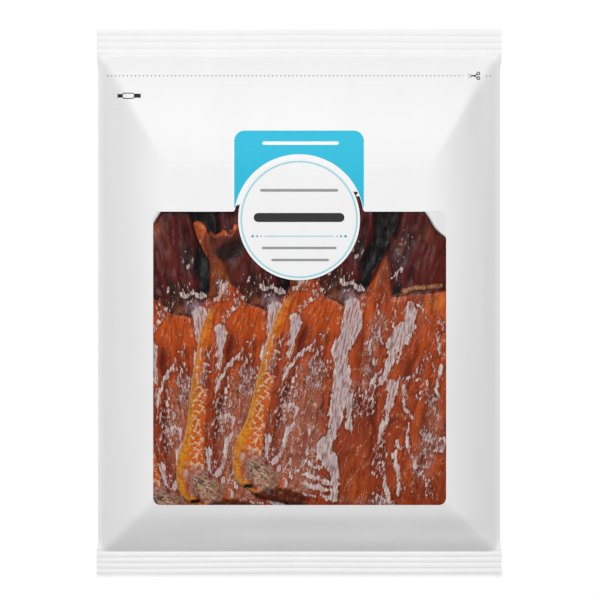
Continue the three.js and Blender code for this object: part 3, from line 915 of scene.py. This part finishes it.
def paint_head(x, y):
    """The colour of the head and arms, with the dark gap, the notch and the pale lip at the collar."""
    folds = head_folds(x, y)
    gap = smooth((painted(x, y, [HEAD_GAP]) + 1.6 * uneven(x, y, 2.5, 5, 13)) / 2.4 + 0.4)
    notch = smooth(painted(x, y, [thin(2.4, 12.5, -1, 15, 6)]) / 1.5 + 0.5)
    lip = painted(x, y, [thin(1.3, 19, 3.4, 26, 6.0, 35, 7.4, 42, 9)])
    lip = smooth((lip + 0.8 * folds) / 1.2 + 0.4)
    return coated(
        toned_ground(x, y, (76, 18, 18), HEAD_TONES),
        # Painted shade darkens the head's fold valleys and painted light brightens its fold ridges.
        ((32, 13, 15), smooth((-folds - 0.05) / 0.5) * 0.75),
        ((112, 44, 38), smooth((folds - 0.25) / 0.5) * 0.45),
        ((9, 9, 12), gap),
        # Small painted highlights in the dark gap.
        ((74, 76, 88), gap * smooth((uneven(x, y, 1.5, 2.6, 14) - 0.5) / 0.5) * 0.4),
        ((24, 22, 24), notch),
        ((190, 142, 96), lip * (0.55 + 0.35 * uneven(x, y, 6, 3, 22))),
    )


def paint_cheek(x, y):
    """The colour of the fold between head and feeler, bright at two points of its torn top."""
    torn = smooth((2.2 + cheek_gap(x, y)) / 1.5 + 0.5) * (y > 34)
    return coated(
        np.tile(linear((86, 34, 26)), (len(x), 1)),
        # A dark patch beside the feeler: painted shade.
        ((34, 8, 8), smooth(painted(x, y, [[(-46, 27, 5), (-38, 30, 6)]]) / 3 + 0.5)),
        ((138, 62, 32), torn * (0.7 + 0.3 * uneven(x, y, 2, 2, 24))),
        ((214, 98, 34), 0.9 * blob(x, y, -45.7, 40.8, 2.4, 2.2)),
        ((214, 98, 34), 0.9 * blob(x, y, -37.8, 43.8, 2.4, 2.2)),
        ((24, 14, 14), smooth((uneven(x, y, 2.4, 4.5, 15) - 0.2) / 0.5) * 0.5),
    )


def paint_feeler(x, y, tucked):
    """The colour of the feeler arm, brighter toward its tip, with painted light and shade on its tip and
    edges.
    """
    edge = smooth((1.3 + feeler_gap(x, y, tucked)) / 0.8) * smooth((y - 8) / 8)
    return coated(
        np.tile(linear((130, 64, 26)), (len(x), 1)),
        ((126, 50, 26), smooth((y - 18) / 6)),
        ((170, 70, 26), smooth((y - 36) / 5)),
        # A painted highlight on the tip.
        ((214, 126, 58), smooth((y - 42) / 3) * smooth((x + 62) / 4) * 0.8),
        # Its left edge is painted lit and its right edge painted in shade.
        ((188, 96, 44), edge * (x < -53)),
        ((92, 36, 22), edge * (x > -56) * 0.8),
        ((96, 46, 20), smooth((-uneven(x, y, 2.2, 9, 16) - 0.1) / 0.5) * 0.55),
    )


# Where head and mantle meet, a dark line follows the collar: painted shade in the crease and under the
# head's edge.
COLLAR_SHADE_LINE = [
    thin(0.9, -35, 3.5, -32, -3, -29, -5.7, -23, -7.3, -19, -9.7, -12, -8.5),
    thin(0.7, 14, -1, 25, 2.5, 35, 3.8, 47, 7),
    thin(0.7, -16, 2, -5, 0),
]
# The colours are given as they are seen. The fibres and the shade of the folds take some of the light away.
BASE_GAIN = np.array((1.18, 1.08, 1.0))
# How deep in bloom and painted highlight skin is: bare, all white, and on mantle and head where there
# are only specks.
BARE = -4
WHITE = 2
SPECKED = -0.08
SPECKED_HEAD = 0.42  # so much less on the head


def paint_squid(x, y, tucked):
    """Each point's skin colour, and how deep in bloom and painted highlight, dusty, laced, wrinkled or plain
    it is.
    """
    stray_x = x + 1.1 * uneven(x, y, 3.1, 4.9, 17)
    stray_y = y + 1.6 * uneven(x, y, 3.7, 5.9, 18)
    inward = -mantle_gap(x, y)
    skin, dusty, rim, lace, patch, crumple, cleared = paint_mantle(x, y, stray_x, stray_y, inward)
    head = smooth(-outline_distance(x, y, COLLAR) / 1.2 + 0.5) * (inward < 25)
    skin = skin + (paint_head(x, y) - skin) * head[:, None]
    skin = coated(skin, ((46, 16, 14), smooth(painted(x, y, COLLAR_SHADE_LINE) / 0.8 + 0.5) * 0.9))
    if not tucked:
        off_mantle = smooth(mantle_gap(x, y) / 0.8 + 0.5)
        cheek = smooth(-cheek_gap(x, y) / 0.8 + 0.5) * off_mantle * (x < -32)
        skin = skin + (paint_cheek(x, y) - skin) * cheek[:, None]
        feeler = smooth(-feeler_gap(x, y, tucked) / 0.8 + 0.5) * off_mantle
        skin = skin + (paint_feeler(x, y, tucked) - skin) * feeler[:, None]

    bloom_and_glint = painted(stray_x, stray_y, BLOOM_AND_GLINTS) + 0.7 * uneven(x, y, 2.3, 4.1, 19)
    specks_and_glints = np.minimum(painted(stray_x, stray_y, SPECKS_AND_GLINTS), SPECKED - SPECKED_HEAD * head)
    bloom_and_glint = np.maximum(np.clip(bloom_and_glint, BARE, WHITE), specks_and_glints)
    # No bloom lies in the painted shade at the tail's left corner.
    dark_corner = smooth(painted(x, y, [thin(3.0, -70, -131.5, -63, -131)]) / 1.0 + 0.5)
    bloom_and_glint = bloom_and_glint - (bloom_and_glint - BARE) * np.maximum(cleared, dark_corner)
    dust = dusty * (1 - head) * (1 - rim) * (1 - patch) * (1 - crumple)
    plain = np.clip(rim + 0.6 * lace + patch + crumple, 0, 1)
    return skin * BASE_GAIN, bloom_and_glint, dust, lace, patch * (1 - crumple), plain


def relief(x, y):
    """How far the upper face stands above the sheet's own level, in mm."""
    inward = -mantle_gap(x, y)
    waves = 0.55 * mantle_folds(x, y) * smooth(inward / 4)
    rim = 0.7 * np.exp(-(((inward - 2.6) / 1.9) ** 2)) * (x < RIM_SIDE) * (y < 4)
    edge = np.clip(inward, 0, 1.8) / 1.8
    head_depth = -outline_distance(x, y, COLLAR)
    in_head = smooth(head_depth / 2)
    folds = 0.55 * head_folds(x, y) * in_head * smooth((y + 8) / 6)
    gap = -2.2 * smooth(painted(x, y, [HEAD_GAP]) / 3 + 0.5)
    crease = -0.6 * np.exp(-(((head_depth - 0.8) / 1.8) ** 2)) * (np.abs(x) < 50)
    bloom_rise = 0.25 * smooth(painted(x, y, WIDE_BLOOM_AND_GLINTS) / 1.2)
    crackled = smooth(painted(x, y, [thin(8, -70, -114, -52, -130)]) / 3 + 0.3)
    knots = 0.45 * crackled * uneven(x + y, y - x, 2.6, 1.6, 20)
    crumpled = 0.8 * smooth(painted(x, y, [thin(4, -60, -137, -33, -138)]) / 2 + 0.4)
    crumpled = crumpled * uneven(x, y, 2.2, 1.8, 21)
    body = waves + rim + bloom_rise - 0.7 * smooth((painted(x, y, VALLEYS) + 1.2) / 2.4)
    thinned = 1.3 * (1 - edge) ** 2 * (y < 0)
    return body * (1 - in_head) + folds + gap * (y > -2) + crease + knots + crumpled - thinned


def own_place(x, y, place):
    """A point of the pouch, in metres, in a squid's own drawing, in mm."""
    centre_x, centre_y, lean = place
    angle = np.radians(lean)
    over, up = x / MM - centre_x, y / MM - centre_y
    return over * np.cos(angle) + up * np.sin(angle), up * np.cos(angle) - over * np.sin(angle)


# A squid's side lies this far from its middle at the collar, and leans out or in from there.
BODY_HALF = 56
TAIL_SPREAD = -0.2
HEAD_TAPER = 0.25


def beyond(x, y, place):
    """Distance of a point of the pouch beyond the left side of a squid, in mm."""
    across, along = own_place(x, y, place)
    return -across - BODY_HALF - np.where(along < 0, TAIL_SPREAD, HEAD_TAPER) * along


# Beside the squid on top, a squid rises by most of a layer, over this width.
RISE = 0.003
RISE_WIDTH = 35


def level(x, y, layer):
    """Height of a squid's upper face in the pouch, one layer deeper for each squid on top of it."""
    height = front_height(x, y) - UNDER_FILM
    for upper in list(SQUID_PLACES.values())[layer + 1:]:
        height = height - LAYER + RISE * smooth(beyond(x, y, upper) / RISE_WIDTH)
    return height


CELL = 0.78
EDGE_ROUND = 1.6
EDGE_DEPTH = 0.9
TALLEST = 0.8  # relief is cut off here, so that it stays under the film
UNDERSIDE = 40.0  # the underside reads its noise from another depth
SKIN_MARKS = ("bloom_and_glint", "dust", "lace", "crackle", "plain")
for layer, (name, place) in enumerate(SQUID_PLACES.items()):
    tucked = layer == 0
    angle = np.radians(place[2])

    def to_pouch(x, y):
        """A point of the squid's own drawing, in mm, brought to its place in the pouch, in metres."""
        return (
            MM * (place[0] + x * np.cos(angle) - y * np.sin(angle)),
            MM * (place[1] + x * np.sin(angle) + y * np.cos(angle)),
        )

    def squid_gap(x, y):
        """Distance to the whole squid."""
        gaps = [mantle_gap(x, y), head_gap(x, y), feeler_gap(x, y, tucked)]
        return np.minimum.reduce(gaps if tucked else gaps + [cheek_gap(x, y)])

    def upper_face(x, y):
        """Height of the upper face, rounded off at the edge."""
        inward = np.clip(-squid_gap(x, y) / EDGE_ROUND, 0, 1)
        rounding = EDGE_DEPTH * (1 - np.sqrt(1 - (1 - inward) ** 2))
        return level(*to_pouch(x, y), layer) + MM * (np.minimum(relief(x, y), TALLEST) - rounding)

    squid, x, y, on_top = closed_sheet(
        name + "_skin",
        lines(-82.0, CELL, 72.0),
        lines(-150.0, CELL, 94.0),
        squid_gap,
        upper_face,
        lambda x, y: level(*to_pouch(x, y), layer) - SQUID_THICKNESS,
        to_pouch,
    )
    skin, *marks_of_skin = paint_squid(x, y, tucked)
    colours = squid.data.attributes.new("skin", "FLOAT_COLOR", "POINT")
    colours.data.foreach_set("color", np.c_[skin, np.ones(len(x))].astype(np.float32).ravel())
    for label, values in zip(SKIN_MARKS, marks_of_skin):
        marks = squid.data.attributes.new(label, "FLOAT", "POINT")
        marks.data.foreach_set("value", values.astype(np.float32))
    lay = squid.data.attributes.new("lay", "FLOAT_VECTOR", "POINT")
    lay.data.foreach_set("vector", np.c_[x, y, np.where(on_top, 0.0, UNDERSIDE)].astype(np.float32).ravel())
    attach(squid, "root")
    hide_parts(name)

# Dried skin is glossy, translucent brown with fine fibres that run from tail to head. The bloom on it is
# matt and ragged along its edges, and breaks into specks where it is thin. Part of the pale bloom painted
# here is painted highlight of the lamp on the wet wrinkles.
squid_skin, skin_shader = new_material("squid_skin", srgb(166, 72, 28), 0.36, Specular_IOR_Level=0.06)
tree = squid_skin.node_tree


def read_mark(label, output="Fac"):
    """What the vertices of a squid carry under a label."""
    node = add_node(tree, "Attribute")
    node.attribute_name = label
    return node.outputs[output]


def math_node(operation, first, second):
    """A step on two numbers, each plain or another node's output."""
    node = add_node(tree, "Math")
    node.operation = operation
    feed(node.inputs[0], first)
    feed(node.inputs[1], second)
    return node.outputs[0]


def times(value, *factors):
    """A product, taken in turn."""
    for factor in factors:
        value = math_node("MULTIPLY", value, factor)
    return value


def plus(first, second):
    """A sum."""
    return math_node("ADD", first, second)


def less(first, second):
    """A difference."""
    return math_node("SUBTRACT", first, second)


def larger(first, second):
    """The larger of two numbers."""
    return math_node("MAXIMUM", first, second)


def mix(share, first, second, blend="MIX"):
    """A share of the second colour on the first, in the squid's material."""
    return mix_node(tree, share, first, second, blend)


def step_up(value, low, high):
    """0 below the low value, 1 above the high one and a soft rise between them."""
    node = add_node(tree, "MapRange", From_Min=low, From_Max=high)
    node.interpolation_type = "SMOOTHSTEP"
    feed(node.inputs["Value"], value)
    return node.outputs["Result"]


lay_mark = read_mark("lay", "Vector")


def noise(scale, length, detail=3.0, turn=0.0):
    """Noise in the squid's own drawing, drawn out to a length along fibres that lean by a turn."""
    mapping = add_node(tree, "Mapping", Scale=(1.0, length, 1.0), Rotation=(0.0, 0.0, turn), Vector=lay_mark)
    mapping.vector_type = "TEXTURE"
    node = add_node(tree, "TexNoise", Scale=scale, Detail=detail, Vector=mapping.outputs["Vector"])
    return node.outputs["Fac"]


def hairline(value, half_width):
    """Thin lines where noise crosses its middle value."""
    off_middle = math_node("ABSOLUTE", less(value, 0.5), 0.0)
    return less(1.0, step_up(off_middle, half_width * 0.4, half_width))


skin_mark = read_mark("skin", "Color")
bloom_and_glint_mark, dust_mark, lace_mark, crackle_mark, plain_mark = [read_mark(label) for label in SKIN_MARKS]
lively = less(1.0, times(plain_mark, 0.8))

# Streaks of tone along the fibres, in three widths, fainter where the skin is plain.
fibre = noise(0.42, 8.0, 4.0, -0.07)
fine_fibre = noise(1.3, 7.0, 3.0, -0.09)
blotch = noise(0.11, 1.7)
darker = mix(0.42, skin_mark, (0.42, 0.3, 0.3, 1.0), "MULTIPLY")
brighter = mix(0.85, skin_mark, (1.3, 1.32, 1.25, 1.0), "MULTIPLY")
toned = mix(times(step_up(less(1.0, fibre), 0.48, 0.72), lively), skin_mark, darker)
toned = mix(times(step_up(fibre, 0.52, 0.7), 0.6), toned, brighter)
mottled = mix(1.0, toned, (0.62, 0.52, 0.5, 1.0), "MULTIPLY")
toned = mix(times(step_up(noise(0.16, 2.0), 0.5, 0.66), lively, 0.7), toned, mottled)
thicker = times(step_up(noise(0.5, 0.6, 4.0), 0.46, 0.6), plain_mark)
toned = mix(times(thicker, 0.8), toned, mix(1.0, toned, (0.72, 0.58, 0.42, 1.0), "MULTIPLY"))
# Thin dark crevices: painted shade in them, which the bump also presses in.
crevice = times(hairline(noise(0.13, 5.0, 4.0, -0.12), 0.012), lively)
toned = mix(times(crevice, 0.5), toned, (0.045, 0.012, 0.008, 1.0))
toned = mix(times(step_up(fine_fibre, 0.57, 0.7), lively, 0.07), toned, (0.05, 0.014, 0.008, 1.0))
glint = times(hairline(noise(0.3, 4.0, 4.0, -0.28), 0.013), step_up(noise(0.2, 1.5, 2.0), 0.46, 0.56))
on_bright_skin = times(step_up(skin_mark, 0.05, 0.11), lively)
toned = mix(times(glint, on_bright_skin, 0.6), toned, srgb(232, 180, 146))

# The bloom, in part painted highlight: ragged along its edges, parted by bare streaks, and strewn in
# flecks and scratches beside them.
ragged = noise(0.7, 2.5, 5.0, -0.12)
depth = plus(bloom_and_glint_mark, times(less(ragged, 0.5), 5.0))
bare = times(step_up(noise(0.85, 6.0, 3.0, -0.1), 0.5, 0.58), 0.66)
# Just outside the bloom's edges the skin is darkened: painted shade beside it.
beside = times(step_up(depth, -1.7, -0.1), less(1.0, plain_mark))
toned = mix(times(beside, 0.55), toned, mix(1.0, toned, (0.42, 0.3, 0.28, 1.0), "MULTIPLY"))
pitted = times(step_up(depth, 0.0, 0.5), less(1.0, bare))
flecks = plus(noise(0.62, 3.4, 4.0, -0.14), times(bloom_and_glint_mark, 0.028))
flecks = times(step_up(plus(flecks, times(dust_mark, 0.075)), 0.61, 0.66), 0.75)
scratch = hairline(noise(0.22, 3.6, 4.0, -0.16), 0.015)
scratch = times(scratch, step_up(noise(0.17, 1.4, 2.0, 0.4), 0.44, 0.56))
rung = times(hairline(noise(0.26, 3.0, 3.0, 1.5), 0.012), step_up(noise(0.14, 1.0, 2.0), 0.5, 0.58))
scratch = times(larger(scratch, rung), dust_mark, 0.65)
salt_and_glint = larger(pitted, larger(flecks, scratch))

# The lace beside the rim is two sets of broken, wavering pale lines that cross. The patch at the tail is
# finely wrinkled.
broken = noise(0.3, 1.0, 2.0)
for turn in (0.8, -0.75):
    mapping = add_node(tree, "Mapping", Rotation=(0.0, 0.0, turn), Vector=lay_mark)
    weave = add_node(tree, "TexWave", Scale=0.075, Distortion=8.0, Detail=3.0, Detail_Scale=1.6)
    feed(weave.inputs["Vector"], mapping.outputs["Vector"])
    thread = times(step_up(weave.outputs["Fac"], 0.76, 0.94), step_up(broken, 0.42, 0.52))
    salt_and_glint = larger(salt_and_glint, times(thread, lace_mark, 0.85))
wrinkle = times(hairline(noise(0.55, 4.5, 5.0, 0.95), 0.042), crackle_mark, 0.9)
golden = times(step_up(noise(0.7, 1.6, 2.0, 0.91), 0.56, 0.64), crackle_mark)
hair = times(step_up(noise(0.75, 4.0, 3.0, 0.95), 0.56, 0.62), crackle_mark)

salt_and_glint_colour = mix(step_up(blotch, 0.4, 0.6), srgb(214, 194, 194), srgb(230, 214, 206))
salt_and_glint_colour = mix(lace_mark, salt_and_glint_colour, srgb(236, 204, 168))
salt_and_glint_colour = mix(times(step_up(bloom_and_glint_mark, 1.2, 1.9), 0.45), salt_and_glint_colour, srgb(186, 164, 168))
salt_and_glint_colour = mix(times(step_up(fine_fibre, 0.53, 0.63), 0.55), salt_and_glint_colour, srgb(124, 84, 80))
surface = mix(times(salt_and_glint, 0.92), toned, salt_and_glint_colour)
surface = mix(times(hair, 0.6), surface, srgb(214, 190, 174))
surface = mix(times(golden, 0.4), surface, srgb(186, 128, 56))
surface = mix(wrinkle, surface, srgb(58, 38, 26))
height = plus(plus(times(fibre, 0.35), times(fine_fibre, 0.15)), times(salt_and_glint, 0.35))
height = less(height, times(plus(crevice, wrinkle), 0.4))
skin_bump = add_node(tree, "Bump", Strength=0.9, Distance=0.0003, Height=height)
feed(skin_shader.inputs["Base Color"], surface)
feed(skin_shader.inputs["Roughness"], plus(0.24, times(salt_and_glint, 0.3)))
feed(skin_shader.inputs["Normal"], skin_bump.outputs["Normal"])
for name in SQUID_PLACES:
    bpy.data.objects[name + "_skin"].data.materials.append(squid_skin)

# The white inner side of the pouch shows beside the squids, in the top corners of the window. It is
# laminate like the rest. Here it is a lining of its own, which rises to the clear film where no squid lies
# between them, and lies plain under the squids.
LINING_UNDER = 0.0008
LINING = 0.0004


def lining_height(x, y):
    """Height of the lining's upper face: under the lowest squid, and close under the film beside them."""
    beside = np.full(x.shape, np.inf)
    for place in SQUID_PLACES.values():
        own = own_place(x, y, place)
        beside = np.minimum(beside, np.minimum(mantle_gap(*own), head_gap(*own)))
    under = level(x, y, 0) - SQUID_THICKNESS - LINING_UNDER
    return under + (front_height(x, y) - LINING - under) * smooth((beside + 0.2) / 0.8)


lining = closed_sheet(
    "back_lining",
    lines(-0.108, 0.003, -0.098, 0.0008, -0.082, 0.004, 0.074, 0.0008, 0.098, 0.003, 0.108),
    lines(-0.145, 0.004, 0.034, 0.0008, 0.06, 0.003, 0.085),
    None,
    lining_height,
    lambda x, y: lining_height(x, y) - LINING,
)[0]
lining_white, lining_shader = new_material("lining_white", (0.93, 0.93, 0.93, 1.0), 0.6)
uneven_tint(lining_shader, 400, (0.91, 0.91, 0.91, 1.0), (0.96, 0.96, 0.96, 1.0))
lining.data.materials.append(lining_white)
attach(lining, "root")
